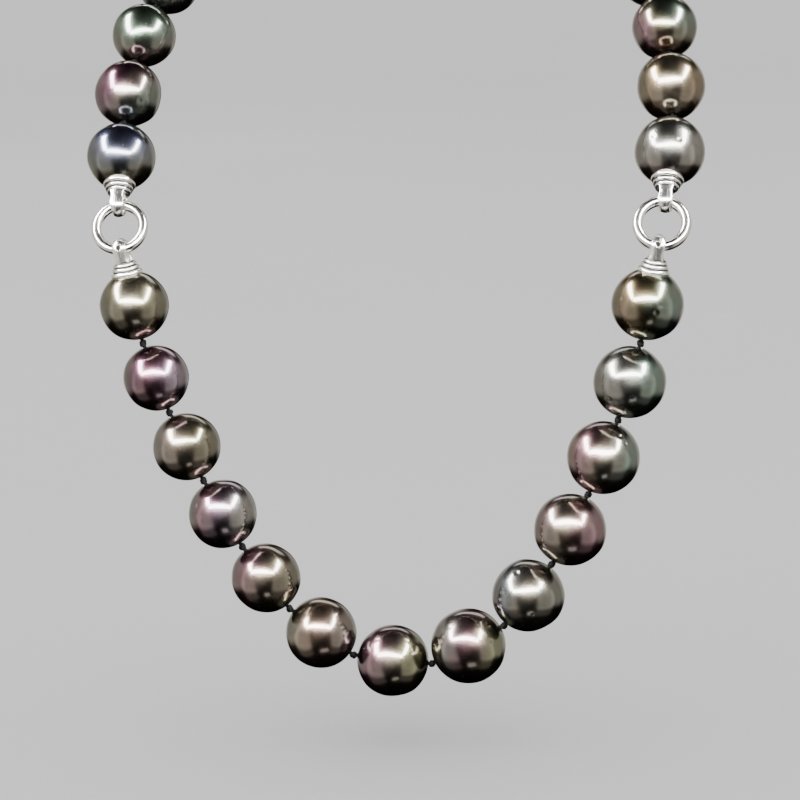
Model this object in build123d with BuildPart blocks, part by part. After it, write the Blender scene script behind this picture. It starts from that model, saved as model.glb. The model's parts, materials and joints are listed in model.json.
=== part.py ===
from build123d import *
import math
import os

os.makedirs("parts", exist_ok=True)

# A graduated pearl necklace, as worn: +Z up, the wearer faces -Y, left and right are as seen from the
# front, and the origin is the point at the nape where the clasp rests on the neck.

# ---------------------------------------------------------------- driving dimensions, mm and degrees
# front drape, left to right: (pearl diameter, tilt of its bore from straight down towards +X)
FRONT_PEARLS = [
    (11.2, 10.5),
    (10.7, 19),
    (11.0, 24.5),
    (11.2, 28.5),
    (11.4, 35.5),
    (11.6, 53),
    (11.7, 84),
    (12.2, 119),
    (11.7, 143),
    (11.6, 152.5),
    (11.7, 158),
    (11.5, 163.5),
    (11.4, 169.5),
]
# each neck strand, from the ring up to the clasp: (pearl diameter, angle of its bore inwards from
# straight back, angle of its bore above level)
NECK_PEARLS = [
    (11.2, -5, 52),
    (11.0, 4, 51),
    (10.6, 15, 47),
    (10.5, 24, 42),
    (10.4, 31, 36),
    (10.3, 38, 28),
    (10.2, 49, 19),
    (10.0, 62, 8),
]
LEFT_LINKS = 6  # the front strand parts after pearl 7; pearls 6 and 7 share the last left link

BORE_RADIUS = 0.5
THREAD_RADIUS = 0.35
KNOT_RADIUS = 0.58
NECK_KNOT_GAP = 1.2
THREAD_GAP = 0.08  # from a knot to the thread of the next link, which turns about that knot

RING_RADIUS = 3.85
RING_WIRE_RADIUS = 0.8
RING_LEAN = 30  # the ring's top leans back by this
RING_ROLL = 8  # its lower cap sits this far round towards the middle, its upper cap away from it

WIRE_ABOVE_PEARL = 3.7  # from a pearl's pole to the centre of the ring wire above it
CAP_SEAT_GAP = 0.12
CAP_TIERS = [(2.55, 0.25), (2.2, 0.85), (1.88, 1.45)]  # (radius, height of its top above the pearl's pole)
CAP_TIER_BULGE = 0.14
CAP_TOP_RADIUS = 1.68
CAP_TOP_HEIGHT = 1.75
CAP_CHAMBER_RADIUS = 0.8
CAP_CHAMBER_HEIGHT = 1.3
CAP_KNOT_HEIGHT = 0.65
BAIL_INNER_RADIUS = 1.2
BAIL_THICKNESS = 0.45
BAIL_WIDTH = 2.2

CLASP_LENGTH = 11.5
CLASP_THICKNESS = 2.2
CLASP_HEAD_RADIUS = 3.1
CLASP_TAIL_RADIUS = 1.9
CLASP_HOOK_RADIUS = 1.45
CLASP_THROAT_RADIUS = 1.1
CLASP_THROAT = 5.6  # from the clasp's nose to the end of its opening
CLASP_EYE = 9.9
CLASP_EYE_RADIUS = 0.9
CLASP_TAIL_THICKNESS = 1.2
CLASP_TAIL_STEP = 8.7  # the tail is thin from here on
CLASP_GAP = (2.5, 6.3)  # the hook is open between these, on its lower side
CLASP_SLOT = 1.3
CLASP_SLOT_START = 4.5
CLASP_SLOT_END = 8.0
CLASP_SLOT_TOP = 0.1
RIVET_PLACE = (7.0, -1.75)
RIVET_RADIUS = 0.4
RIVET_CLEARANCE = 0.05
TRIGGER_THICKNESS = 0.7
TRIGGER_ROOT_RADIUS = 0.8
TRIGGER_TIP = (3.05, -2.2)
TRIGGER_TIP_RADIUS = 0.45
NUB_FOOT = (6.2, -2.1)
NUB_END = (5.9, -3.0)
NUB_RADIUS = 0.35
SPRING_RADIUS = 0.6
SPRING_WIRE_RADIUS = 0.1
SPRING_LEG = 1.4
LINK_RADIUS = 2.1
CATCH_RADIUS = 2.3
CATCH_CENTRE = 0.4  # from the nose to the catch ring's centre
CLASP_WIRE_RADIUS = 0.4
GIMP_LOOP_RADIUS = 1.1
GIMP_TUBE_RADIUS = 0.35
GIMP_REACH = 2.7  # from the loop's centre to the last pearl's pole
LAST_KNOT_REACH = 0.65

# ---------------------------------------------------------------- worked-out places
X = Vector(1, 0, 0)
CLASP_Y = CLASP_THICKNESS / 2
CLASP_SPAN = CLASP_EYE + 2 * LINK_RADIUS - (CATCH_CENTRE - CATCH_RADIUS)  # between the two gimp loops
NOSE_X = -CLASP_SPAN / 2 - (CATCH_CENTRE - CATCH_RADIUS)


def drape_direction(tilt):
    """The way a front bore runs, in the upright plane of the drape."""
    return Vector(math.sin(math.radians(tilt)), 0, -math.cos(math.radians(tilt)))


def neck_direction(inwards, rise, side):
    """The way a neck bore runs on one side (-1 left, +1 right), from the ring up to the clasp."""
    level = math.cos(math.radians(rise))
    sideways = -side * level * math.sin(math.radians(inwards))
    back = level * math.cos(math.radians(inwards))
    return Vector(sideways, back, math.sin(math.radians(rise)))


def neck_strand(side):
    """The ring's upper contact and each neck pearl's (centre, direction), worked out from the clasp down."""
    point = Vector(side * CLASP_SPAN / 2, CLASP_Y, 0)
    pearls = []
    step = GIMP_REACH
    for diameter, inwards, rise in reversed(NECK_PEARLS):
        direction = neck_direction(inwards, rise, side)
        centre = point - direction * (step + diameter / 2)
        pearls.insert(0, (centre, direction))
        point = centre - direction * (diameter / 2 + NECK_KNOT_GAP / 2)
        step = NECK_KNOT_GAP / 2
    first_centre, direction = pearls[0]
    contact = first_centre - direction * (NECK_PEARLS[0][0] / 2 + WIRE_ABOVE_PEARL)
    return contact, pearls


def ring_place(side, upper_contact):
    """A ring's centre, its normal and the contact of its lower cap."""
    lean, roll = math.radians(RING_LEAN), math.radians(RING_ROLL)
    up = Vector(0, math.sin(lean), math.cos(lean))
    to_upper = up * math.cos(roll) + X * side * math.sin(roll)
    centre = upper_contact - to_upper * RING_RADIUS
    return centre, X.cross(up), centre - to_upper * RING_RADIUS


def front_chord(gap, turn=0.0):
    """The vector from the left ring's wire to the right ring's wire, for one knot gap."""
    total = Vector(0, 0, 0)
    for place, (diameter, tilt) in enumerate(FRONT_PEARLS):
        run = diameter + gap
        if place in (0, len(FRONT_PEARLS) - 1):
            run = diameter + gap / 2 + WIRE_ABOVE_PEARL
        total += drape_direction(tilt + turn) * run
    return total


def front_knot_gap(span):
    """The gap for a knot with which the front strand reaches across the span, by halving."""
    low, high = 0.2, 3.0
    for _ in range(50):
        middle = (low + high) / 2
        if front_chord(middle).length < span:
            low = middle
        else:
            high = middle
    return middle


upper_contact = {}
neck_pearls = {}
ring_centre = {}
ring_normal = {}
lower_contact = {}
for side in (-1, 1):
    upper_contact[side], neck_pearls[side] = neck_strand(side)
    ring_centre[side], ring_normal[side], lower_contact[side] = ring_place(side, upper_contact[side])

FRONT_SPAN = (lower_contact[1] - lower_contact[-1]).length
FRONT_GAP = front_knot_gap(FRONT_SPAN)
chord = front_chord(FRONT_GAP)
LEVELLING = -math.degrees(math.atan2(chord.Z, chord.X))  # the small turn that makes the ends level

# front pearls: (centre, direction, diameter), and the knots between them, left to right
front_pearls = []
front_knots = []
walker = lower_contact[-1]
for place, (diameter, tilt) in enumerate(FRONT_PEARLS):
    direction = drape_direction(tilt + LEVELLING)
    lead = WIRE_ABOVE_PEARL if place == 0 else FRONT_GAP / 2
    centre = walker + direction * (lead + diameter / 2)
    front_pearls.append((centre, direction, diameter))
    walker = centre + direction * (diameter / 2 + FRONT_GAP / 2)
    if place < len(FRONT_PEARLS) - 1:
        front_knots.append(walker)

SIDE_NAMES = {-1: "left", 1: "right"}


# ---------------------------------------------------------------- sub-parts
def save(builder, name):
    """Labels one finished sub-part and writes its file."""
    builder.part.label = name
    export_step(builder.part, f"parts/{name}.step")


def make_pearl(name, centre, direction, diameter):
    """One round pearl, drilled through along its strand."""
    with BuildPart(Plane(origin=centre, z_dir=direction)) as pearl:
        Sphere(diameter / 2)
        Cylinder(BORE_RADIUS, 2 * diameter, mode=Mode.SUBTRACT)
    save(pearl, name)


def thread(start, end):
    """A straight length of silk, added to the open part."""
    run = end - start
    with Locations(Plane(origin=start, z_dir=run)):
        Cylinder(THREAD_RADIUS, run.length, align=(Align.CENTER, Align.CENTER, Align.MIN))


def knot(point, along):
    """A silk knot on a thread that runs along a direction, added to the open part."""
    with Locations(Plane(origin=point, z_dir=along)):
        Sphere(KNOT_RADIUS)


def cap_knot_place(centre, direction, diameter):
    """Where the silk ends, in the chamber of the cap on a pearl; direction runs out of the cap."""
    return centre - direction * (diameter / 2 + CAP_KNOT_HEIGHT)


def make_cap(name, pearl_centre, towards_ring, pearl_radius):
    """A stepped cap seated on a pearl, with the bail that holds the ring."""
    sideways = (X - towards_ring * X.dot(towards_ring)).normalized()
    forwards = towards_ring.cross(sideways)
    profile = Plane(origin=pearl_centre, x_dir=sideways, z_dir=sideways.cross(towards_ring))
    bail_side = Plane(origin=pearl_centre, x_dir=forwards, z_dir=forwards.cross(towards_ring))
    seat_radius = pearl_radius + CAP_SEAT_GAP
    rim = math.sqrt(seat_radius**2 - CAP_TIERS[0][0] ** 2)
    wire = pearl_radius + WIRE_ABOVE_PEARL
    top = pearl_radius + CAP_TOP_HEIGHT
    with BuildPart() as cap:
        with BuildSketch(profile):
            with BuildLine():
                low = rim
                Line((0, low), (CAP_TIERS[0][0] - CAP_TIER_BULGE, low))
                for tier, (radius, height) in enumerate(CAP_TIERS):
                    high = pearl_radius + height
                    edge = radius - CAP_TIER_BULGE
                    ThreePointArc((edge, low), (radius, (low + high) / 2), (edge, high))
                    last = tier == len(CAP_TIERS) - 1
                    next_edge = CAP_TOP_RADIUS if last else CAP_TIERS[tier + 1][0] - CAP_TIER_BULGE
                    Line((edge, high), (next_edge, high))
                    low = high
                Line((CAP_TOP_RADIUS, low), (CAP_TOP_RADIUS, top))
                Line((CAP_TOP_RADIUS, top), (0, top))
                Line((0, top), (0, rim))
            make_face()
        revolve(axis=Axis(pearl_centre, towards_ring))
        with BuildSketch(bail_side):
            outer = BAIL_INNER_RADIUS + BAIL_THICKNESS
            with Locations((0, wire)):
                Circle(outer)
            with Locations((0, (top + wire) / 2)):
                Rectangle(2 * outer, wire - top)
            with Locations((0, wire)):
                Circle(BAIL_INNER_RADIUS, mode=Mode.SUBTRACT)
            with Locations((0, (top + wire) / 2)):
                Rectangle(2 * BAIL_INNER_RADIUS, wire - top, mode=Mode.SUBTRACT)
        extrude(amount=BAIL_WIDTH / 2, both=True)
        with Locations(pearl_centre):
            Sphere(seat_radius, mode=Mode.SUBTRACT)
        with Locations(Plane(origin=pearl_centre, z_dir=towards_ring)):
            Cylinder(
                CAP_CHAMBER_RADIUS,
                pearl_radius + CAP_CHAMBER_HEIGHT,
                align=(Align.CENTER, Align.CENTER, Align.MIN),
                mode=Mode.SUBTRACT,
            )
    save(cap, name)


def make_ring(name, side):
    """One plain round ring that joins the front drape to a neck strand."""
    with BuildPart(Plane(origin=ring_centre[side], z_dir=ring_normal[side])) as ring:
        Torus(RING_RADIUS, RING_WIRE_RADIUS)
    save(ring, name)


def make_link_silk(name, start, pearls_and_knots, start_knot=False):
    """The silk of one link of the front drape: straight threads, with a knot at the end of each."""
    with BuildPart() as silk:
        if start_knot:
            knot(start, pearls_and_knots[0][0] - start)
        for end, has_knot in pearls_and_knots:
            thread(start, end)
            if has_knot:
                knot(end, end - start)
            start = end
    save(silk, name)


def after_knot(knot_place, towards):
    """Where a link's thread starts: just clear of the knot that it turns about."""
    return knot_place + (towards - knot_place).normalized() * (KNOT_RADIUS + THREAD_GAP)


# pearls
for number, (centre, direction, diameter) in enumerate(front_pearls, start=1):
    make_pearl(f"front_pearl_{number:02d}", centre, direction, diameter)
for side, side_name in SIDE_NAMES.items():
    for number, (centre, direction) in enumerate(neck_pearls[side], start=1):
        make_pearl(f"neck_pearl_{side_name}_{number}", centre, direction, NECK_PEARLS[number - 1][0])

# front silk, left side: one length for each link, from the cap down past pearl 7
first_centre, first_direction, first_diameter = front_pearls[0]
left_start = cap_knot_place(first_centre, first_direction, first_diameter)
make_link_silk("silk_left_1", left_start, [(front_knots[0], True)], start_knot=True)
for link in range(2, LEFT_LINKS):
    upper, lower = front_knots[link - 2], front_knots[link - 1]
    make_link_silk(f"silk_left_{link}", after_knot(upper, lower), [(lower, True)])
upper, middle, lower = front_knots[4:7]
make_link_silk("silk_left_6", after_knot(upper, middle), [(middle, True), (lower, True)])

# front silk, right side: from the cap down to pearl 8, whose thread ends clear of the left side's last knot
last_centre, last_direction, last_diameter = front_pearls[-1]
right_start = cap_knot_place(last_centre, -last_direction, last_diameter)
make_link_silk("silk_right_1", right_start, [(front_knots[11], True)], start_knot=True)
for link in range(2, LEFT_LINKS):
    upper, lower = front_knots[13 - link], front_knots[12 - link]
    make_link_silk(f"silk_right_{link}", after_knot(upper, lower), [(lower, True)])
upper, lower = front_knots[7], front_knots[6]
make_link_silk("silk_right_6", after_knot(upper, lower), [(after_knot(lower, upper), False)])

# neck silk: one length a side, knotted in the cap, between all pearls and at the gimp
for side, side_name in SIDE_NAMES.items():
    with BuildPart() as neck_silk:
        start = cap_knot_place(*neck_pearls[side][0], NECK_PEARLS[0][0])
        knot(start, neck_pearls[side][0][1])
        for number, (centre, direction) in enumerate(neck_pearls[side], start=1):
            last = number == len(NECK_PEARLS)
            reach = LAST_KNOT_REACH if last else NECK_KNOT_GAP / 2
            end = centre + direction * (NECK_PEARLS[number - 1][0] / 2 + reach)
            thread(start, end)
            knot(end, direction)
            start = end
    save(neck_silk, f"silk_neck_{side_name}")

# rings and caps
for side, side_name in SIDE_NAMES.items():
    make_ring(f"ring_{side_name}", side)
    neck_centre, neck_run = neck_pearls[side][0]
    make_cap(f"cap_upper_{side_name}", neck_centre, -neck_run, NECK_PEARLS[0][0] / 2)
make_cap("cap_lower_left", first_centre, -first_direction, first_diameter / 2)
make_cap("cap_lower_right", last_centre, last_direction, last_diameter / 2)

# clasp: a lobster clasp that lies across the nape, its nose to the left, its gap on the lower side
clasp_plane = Plane(origin=(NOSE_X, CLASP_Y, 0), x_dir=(1, 0, 0), z_dir=(0, -1, 0))
with BuildPart() as clasp_body:
    with BuildSketch(clasp_plane) as outline:
        with Locations((CLASP_HEAD_RADIUS, 0)):
            Circle(CLASP_HEAD_RADIUS)
        with Locations((CLASP_LENGTH - CLASP_TAIL_RADIUS, 0)):
            Circle(CLASP_TAIL_RADIUS)
        make_hull(outline.edges())
    extrude(amount=CLASP_THICKNESS / 2, both=True)
    with BuildSketch(clasp_plane) as opening:
        with Locations((CLASP_HEAD_RADIUS, 0)):
            Circle(CLASP_HOOK_RADIUS)
        with Locations((CLASP_THROAT - CLASP_THROAT_RADIUS, 0)):
            Circle(CLASP_THROAT_RADIUS)
        make_hull(opening.edges())
        gap_start, gap_end = CLASP_GAP
        with Locations((gap_start, 0)):
            Rectangle(gap_end - gap_start, CLASP_LENGTH, align=(Align.MIN, Align.MAX))
        with Locations((CLASP_EYE, 0)):
            Circle(CLASP_EYE_RADIUS)
        with Locations(RIVET_PLACE):
            Circle(RIVET_RADIUS)
    extrude(amount=CLASP_THICKNESS, both=True, mode=Mode.SUBTRACT)
    with BuildSketch(clasp_plane):
        with Locations((CLASP_SLOT_START, CLASP_SLOT_TOP)):
            Rectangle(CLASP_SLOT_END - CLASP_SLOT_START, CLASP_LENGTH, align=(Align.MIN, Align.MAX))
    extrude(amount=CLASP_SLOT / 2, both=True, mode=Mode.SUBTRACT)
    for face_side in (-1, 1):
        with BuildSketch(clasp_plane.offset(face_side * CLASP_TAIL_THICKNESS / 2)):
            with Locations((CLASP_TAIL_STEP, 0)):
                Rectangle(CLASP_LENGTH, CLASP_LENGTH, align=(Align.MIN, Align.CENTER))
        extrude(amount=face_side * CLASP_THICKNESS, mode=Mode.SUBTRACT)
save(clasp_body, "clasp_body")

with BuildPart() as clasp_trigger:
    with BuildSketch(clasp_plane) as arm:
        with Locations(RIVET_PLACE):
            Circle(TRIGGER_ROOT_RADIUS)
        with Locations(TRIGGER_TIP):
            Circle(TRIGGER_TIP_RADIUS)
        make_hull(arm.edges())
    extrude(amount=TRIGGER_THICKNESS / 2, both=True)
    with BuildSketch(clasp_plane) as nub:
        with Locations(NUB_FOOT, NUB_END):
            Circle(NUB_RADIUS)
        make_hull(nub.edges())
    extrude(amount=TRIGGER_THICKNESS / 2, both=True)
    with BuildSketch(clasp_plane):
        with Locations(RIVET_PLACE):
            Circle(RIVET_RADIUS + RIVET_CLEARANCE)
    extrude(amount=TRIGGER_THICKNESS, both=True, mode=Mode.SUBTRACT)
save(clasp_trigger, "clasp_trigger")

with BuildPart() as clasp_rivet:
    with BuildSketch(clasp_plane):
        with Locations(RIVET_PLACE):
            Circle(RIVET_RADIUS)
    extrude(amount=CLASP_THICKNESS / 2, both=True)
save(clasp_rivet, "clasp_rivet")

# the spring is a turn of wire round the rivet, in the slot beside the trigger, with a leg along its arm
spring_y = CLASP_Y + (TRIGGER_THICKNESS + CLASP_SLOT) / 4
spring_place = Vector(NOSE_X + RIVET_PLACE[0], spring_y, RIVET_PLACE[1])
with BuildPart() as clasp_spring:
    with Locations(Plane(origin=spring_place, z_dir=(0, 1, 0))):
        Torus(SPRING_RADIUS, SPRING_WIRE_RADIUS)
    with Locations(Plane(origin=spring_place + Vector(0, 0, SPRING_RADIUS), z_dir=(-1, 0, 0))):
        Cylinder(SPRING_WIRE_RADIUS, SPRING_LEG, align=(Align.CENTER, Align.CENTER, Align.MIN))
save(clasp_spring, "clasp_spring")


def make_wire_ring(name, radius, wire_radius, plane):
    """A closed ring of round wire."""
    with BuildPart(plane) as wire_ring:
        Torus(radius, wire_radius)
    save(wire_ring, name)


catch_plane = Plane(origin=(NOSE_X + CATCH_CENTRE, CLASP_Y, 0), z_dir=(0, 0, 1))
link_plane = Plane(origin=(NOSE_X + CLASP_EYE + LINK_RADIUS, CLASP_Y, 0), z_dir=(0, 0, 1))
make_wire_ring("catch_ring", CATCH_RADIUS, CLASP_WIRE_RADIUS, catch_plane)
make_wire_ring("clasp_ring", LINK_RADIUS, CLASP_WIRE_RADIUS, link_plane)
for side, side_name in SIDE_NAMES.items():
    _, last_run = neck_pearls[side][-1]
    loop_place = Vector(side * CLASP_SPAN / 2, CLASP_Y, 0)
    loop_plane = Plane(origin=loop_place, z_dir=last_run.cross(Vector(0, 0, 1)))
    make_wire_ring(f"gimp_{side_name}", GIMP_LOOP_RADIUS, GIMP_TUBE_RADIUS, loop_plane)
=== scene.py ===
import bpy
import json
import math
from mathutils import Matrix, Quaternion, Vector


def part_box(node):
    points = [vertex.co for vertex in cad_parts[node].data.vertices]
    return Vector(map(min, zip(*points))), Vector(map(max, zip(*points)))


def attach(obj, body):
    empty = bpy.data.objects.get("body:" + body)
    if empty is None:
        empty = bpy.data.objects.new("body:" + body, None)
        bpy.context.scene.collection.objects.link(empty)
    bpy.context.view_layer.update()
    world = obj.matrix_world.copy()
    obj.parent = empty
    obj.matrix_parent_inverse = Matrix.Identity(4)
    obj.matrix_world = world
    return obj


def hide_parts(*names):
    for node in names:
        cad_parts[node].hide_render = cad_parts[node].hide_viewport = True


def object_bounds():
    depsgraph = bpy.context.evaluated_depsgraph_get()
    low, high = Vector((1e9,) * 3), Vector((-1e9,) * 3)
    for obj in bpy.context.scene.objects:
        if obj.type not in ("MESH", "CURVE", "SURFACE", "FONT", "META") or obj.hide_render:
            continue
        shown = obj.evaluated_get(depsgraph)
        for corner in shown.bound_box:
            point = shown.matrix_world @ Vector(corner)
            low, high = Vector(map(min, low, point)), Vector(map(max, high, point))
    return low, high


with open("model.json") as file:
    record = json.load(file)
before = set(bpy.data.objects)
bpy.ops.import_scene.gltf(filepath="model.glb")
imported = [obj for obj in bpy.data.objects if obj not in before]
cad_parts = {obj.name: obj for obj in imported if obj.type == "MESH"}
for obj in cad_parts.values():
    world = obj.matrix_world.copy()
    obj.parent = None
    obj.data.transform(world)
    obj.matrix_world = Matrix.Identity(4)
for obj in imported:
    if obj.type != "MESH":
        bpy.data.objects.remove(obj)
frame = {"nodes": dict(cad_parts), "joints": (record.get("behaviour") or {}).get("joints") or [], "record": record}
cad_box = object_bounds()
bpy.ops.object.select_all(action="DESELECT")

MM = 0.001
joints = {joint["name"]: joint for joint in frame["joints"]}
SIDES = ("left", "right")


# ---------------------------------------------------------------- shader maths
class Wire:
    """One socket of a material's nodes, with arithmetic that adds Math nodes."""

    def __init__(self, tree, socket):
        self.tree = tree
        self.socket = socket

    def node(self, kind, settings=None, **inputs):
        made = self.tree.nodes.new(kind)
        for name, value in (settings or {}).items():
            if name == "stops":
                ramp_stops(made, value)
            else:
                setattr(made, name, value)
        for name, value in inputs.items():
            place = int(name[1:]) if name[1:].isdigit() else name.replace("_", " ")
            socket = made.inputs[place]
            if isinstance(value, Wire):
                self.tree.links.new(value.socket, socket)
            else:
                socket.default_value = value
        return made

    def out(self, kind, settings=None, output=0, **inputs):
        return Wire(self.tree, self.node(kind, settings, **inputs).outputs[output])

    def maths(self, operation, *values, clamp=False):
        settings = {"operation": operation, "use_clamp": clamp}
        return self.out("ShaderNodeMath", settings, **{f"_{n}": value for n, value in enumerate(values)})

    def __add__(self, other):
        return self.maths("ADD", self, other)

    def __sub__(self, other):
        return self.maths("SUBTRACT", self, other)

    def __rsub__(self, other):
        return self.maths("SUBTRACT", other, self)

    def __mul__(self, other):
        return self.maths("MULTIPLY", self, other)

    __radd__ = __add__
    __rmul__ = __mul__

    def between(self, low, high):
        """0 at or below low and 1 at or above high, smoothly."""
        return self.out(
            "ShaderNodeMapRange",
            {"interpolation_type": "SMOOTHSTEP"},
            _0=self, _1=low, _2=high, _3=0.0, _4=1.0,
        )

    def mixed(self, first, second):
        """The first colour at 0 and the second at 1."""
        return self.out(
            "ShaderNodeMix", {"data_type": "RGBA"}, output=2, _0=self, _6=first, _7=second
        )


def ramp_stops(node, stops):
    elements = node.color_ramp.elements
    while len(elements) < len(stops):
        elements.new(0.5)
    for element, (place, colour) in zip(elements, stops):
        element.position = place
        element.color = (*colour, 1.0)


def new_material(name):
    """A material, the wire of its object coordinates, and a function that sets its shader's sockets."""
    material = bpy.data.materials.new(name)
    material.use_nodes = True
    tree = material.node_tree
    shader = tree.nodes["Principled BSDF"]
    here = Wire(tree, tree.nodes.new("ShaderNodeTexCoord").outputs["Object"])

    def finish(**inputs):
        for name, value in inputs.items():
            socket = shader.inputs[name.replace("_", " ")]
            if isinstance(value, Wire):
                tree.links.new(value.socket, socket)
            else:
                socket.default_value = value

    return material, here, finish


# ---------------------------------------------------------------- finishes
DEPTH = 0.36  # how dark the nacre is under its skin
DRIFT_REACH = 0.55  # how far the overtones drift from their places
CLOUD_REACH = 0.12  # how far small clouds stir them
FIRST_OVERTONE, OVERTONE_SPAN = 0.08, 0.84  # where the overtones start across the pearl, and how far they go
DIMMEST = 0.65  # how much of the overtone the darkest clouds leave
UNDERTONE = 0.42  # how bright the nacre is under those clouds, beside its middle overtone
PITTED = 0.27  # share of the skin's cells that hold a pit
PIT_EDGES = (0.02, 0.075)  # a pit's floor and its brim, from its middle
# the colour inside a pit: painted shade, darker than the nacre round it
PIT_SHADE_COLOUR = (0.02, 0.017, 0.014, 1.0)
# the dark colour of the silver's grooves: tarnish together with painted shade; in the strap's recesses, painted
# shade
TARNISH_AND_SHADE_COLOUR = (0.012, 0.011, 0.01, 1.0)
WORN = 0.82  # how bright rubbed silver is beside fresh


def nacre(name, centre, radius, side_glow, colours, turn):
    """Dark nacre: overtones that drift across the pearl, over a metallic lustre and a clear glossy skin."""
    material, here, finish = new_material(name)
    on_pearl = here.out(
        "ShaderNodeMapping",
        _0=here,
        _1=tuple(-c / radius for c in centre),
        _3=(1 / radius,) * 3,
    )
    drift = here.out(
        "ShaderNodeTexNoise",
        Vector=on_pearl.out("ShaderNodeVectorMath", {"operation": "ADD"}, _0=on_pearl, _1=(turn, 3.1, 7.7)),
        Scale=0.9, Detail=2.5, Roughness=0.5, Distortion=0.6,
    )
    clouding = here.out("ShaderNodeTexNoise", Vector=on_pearl, Scale=3.4, Detail=4.0, Roughness=0.55)
    across = here.out(
        "ShaderNodeVectorMath", {"operation": "DOT_PRODUCT"}, output=1,
        _0=on_pearl, _1=tuple(Vector(side_glow).normalized()),
    )
    place = across * 0.5 + 0.5 + (drift - 0.5) * DRIFT_REACH + (clouding - 0.5) * CLOUD_REACH
    colours = [tuple(DEPTH * c for c in colour) for colour in colours]
    steps = len(colours) - 1
    stops = [(FIRST_OVERTONE + OVERTONE_SPAN * n / steps, colour) for n, colour in enumerate(colours)]
    overtone = here.out("ShaderNodeValToRGB", {"stops": stops}, Fac=place)
    shade = clouding.between(0.3, 0.75) * (1 - DIMMEST) + DIMMEST
    body = shade.mixed(tuple(UNDERTONE * c for c in colours[steps // 2]) + (1.0,), overtone)
    cells = here.node("ShaderNodeTexVoronoi", {"feature": "F1"}, Vector=on_pearl, Scale=3.0, Randomness=1.0)
    to_pit = Wire(here.tree, cells.outputs["Distance"])
    cell_number = here.out("ShaderNodeSeparateColor", _0=Wire(here.tree, cells.outputs["Color"]))
    pit = (1 - to_pit.between(*PIT_EDGES)) * cell_number.between(1.0 - PITTED, 1.02 - PITTED)
    ripple = here.out("ShaderNodeTexNoise", Vector=on_pearl, Scale=7.0, Detail=3.0, Roughness=0.5)
    grain = here.out("ShaderNodeTexNoise", Vector=on_pearl, Scale=38.0, Detail=2.0, Roughness=0.5)
    height = ripple * 0.5 + grain * 0.03 - pit * 0.8
    finish(
        # the pits are darkened in colour as painted shade
        Base_Color=pit.mixed(body, PIT_SHADE_COLOUR),
        Metallic=1.0,
        Roughness=0.2 + clouding * 0.1 + pit * 0.3,
        IOR=1.53,
        Specular_Tint=(0.3, 0.32, 0.3, 1.0),
        Coat_Weight=1.0,
        Coat_Roughness=0.06,
        Coat_IOR=1.65,
        Normal=here.out("ShaderNodeBump", Strength=0.06, Distance=0.00025, Height=height),
    )
    return material


def silver(name, tint, roughness, scratch):
    """Polished silver with fine rubbing marks, darker where the mesh's groove attribute is high: tarnish together
    with painted shade in the grooves, and painted shade in the strap's recesses.
    """
    material, here, finish = new_material(name)
    fine = here.out("ShaderNodeTexNoise", Vector=here, Scale=900.0, Detail=5.0, Roughness=0.6)
    soft = here.out("ShaderNodeTexNoise", Vector=here, Scale=260.0, Detail=2.0, Roughness=0.5)
    marks = here.out(
        "ShaderNodeTexNoise",
        Vector=here.out("ShaderNodeMapping", _0=here, _2=(0.4, 0.9, 0.3), _3=(5200.0, 500.0, 500.0)),
        Scale=1.0, Detail=2.0, Roughness=0.6,
    )
    groove = Wire(here.tree, here.node("ShaderNodeAttribute", {"attribute_name": "groove"}).outputs["Fac"])
    # darker in the grooves and recesses: tarnish together with painted shade
    tarnish_and_shade = groove.between(0.1, 0.6)
    light = tuple(tint) + (1.0,)
    worn = tuple(WORN * t for t in tint) + (1.0,)
    finish(
        Base_Color=tarnish_and_shade.mixed(soft.between(0.35, 0.7).mixed(worn, light), TARNISH_AND_SHADE_COLOUR),
        Metallic=1.0,
        Roughness=roughness + fine * 0.1 + marks.between(0.55, 0.75) * 0.08 + tarnish_and_shade * 0.3,
        Normal=here.out(
            "ShaderNodeBump", Strength=scratch, Distance=0.00006,
            Height=soft * 1.2 + fine * 0.35 - marks.between(0.56, 0.7) * 0.5,
        ),
    )
    return material


def silk_finish(name):
    """Black silk, fine fibres along the twist with painted shade between them, with a soft sheen."""
    material, here, finish = new_material(name)
    fibre = here.out("ShaderNodeTexNoise", Vector=here, Scale=5200.0, Detail=3.0, Roughness=0.6)
    patch = here.out("ShaderNodeTexNoise", Vector=here, Scale=700.0, Detail=2.0, Roughness=0.5)
    # darker between the fibres, where their bump is low: painted shade
    painted_shade_between_fibres, on_fibres = (0.002, 0.002, 0.0025, 1.0), (0.009, 0.0085, 0.01, 1.0)
    finish(
        Base_Color=fibre.between(0.3, 0.75).mixed(painted_shade_between_fibres, on_fibres),
        Roughness=0.55 + patch * 0.2,
        Specular_IOR_Level=0.12,
        Normal=here.out("ShaderNodeBump", Strength=0.5, Distance=0.00005, Height=fibre),
    )
    return material


# ---------------------------------------------------------------- modelling helpers
MERGE_REACH = 0.000002  # doubles this near are merged, in metres


def pick(mesh, faces=None, edges=None, verts=None):
    """In object mode, selects only the faces, edges or vertices that a test takes."""
    for group in (mesh.polygons, mesh.edges, mesh.vertices):
        group.foreach_set("select", [False] * len(group))
    if faces:
        for face in mesh.polygons:
            face.select = faces(face.center, face.normal)
    if edges:
        for edge in mesh.edges:
            edge.select = edges(*(mesh.vertices[v].co for v in edge.vertices))
    if verts:
        for vert in mesh.vertices:
            vert.select = verts(vert.co)


def edit(obj, mode, **tests):
    """Opens an object for editing with a chosen selection, of VERT, EDGE or FACE."""
    bpy.context.view_layer.objects.active = obj
    bpy.ops.object.mode_set(mode="EDIT")
    bpy.ops.mesh.select_mode(type=mode)
    bpy.ops.object.mode_set(mode="OBJECT")
    pick(obj.data, **tests)
    bpy.ops.object.mode_set(mode="EDIT")


def done():
    bpy.ops.object.mode_set(mode="OBJECT")


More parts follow.
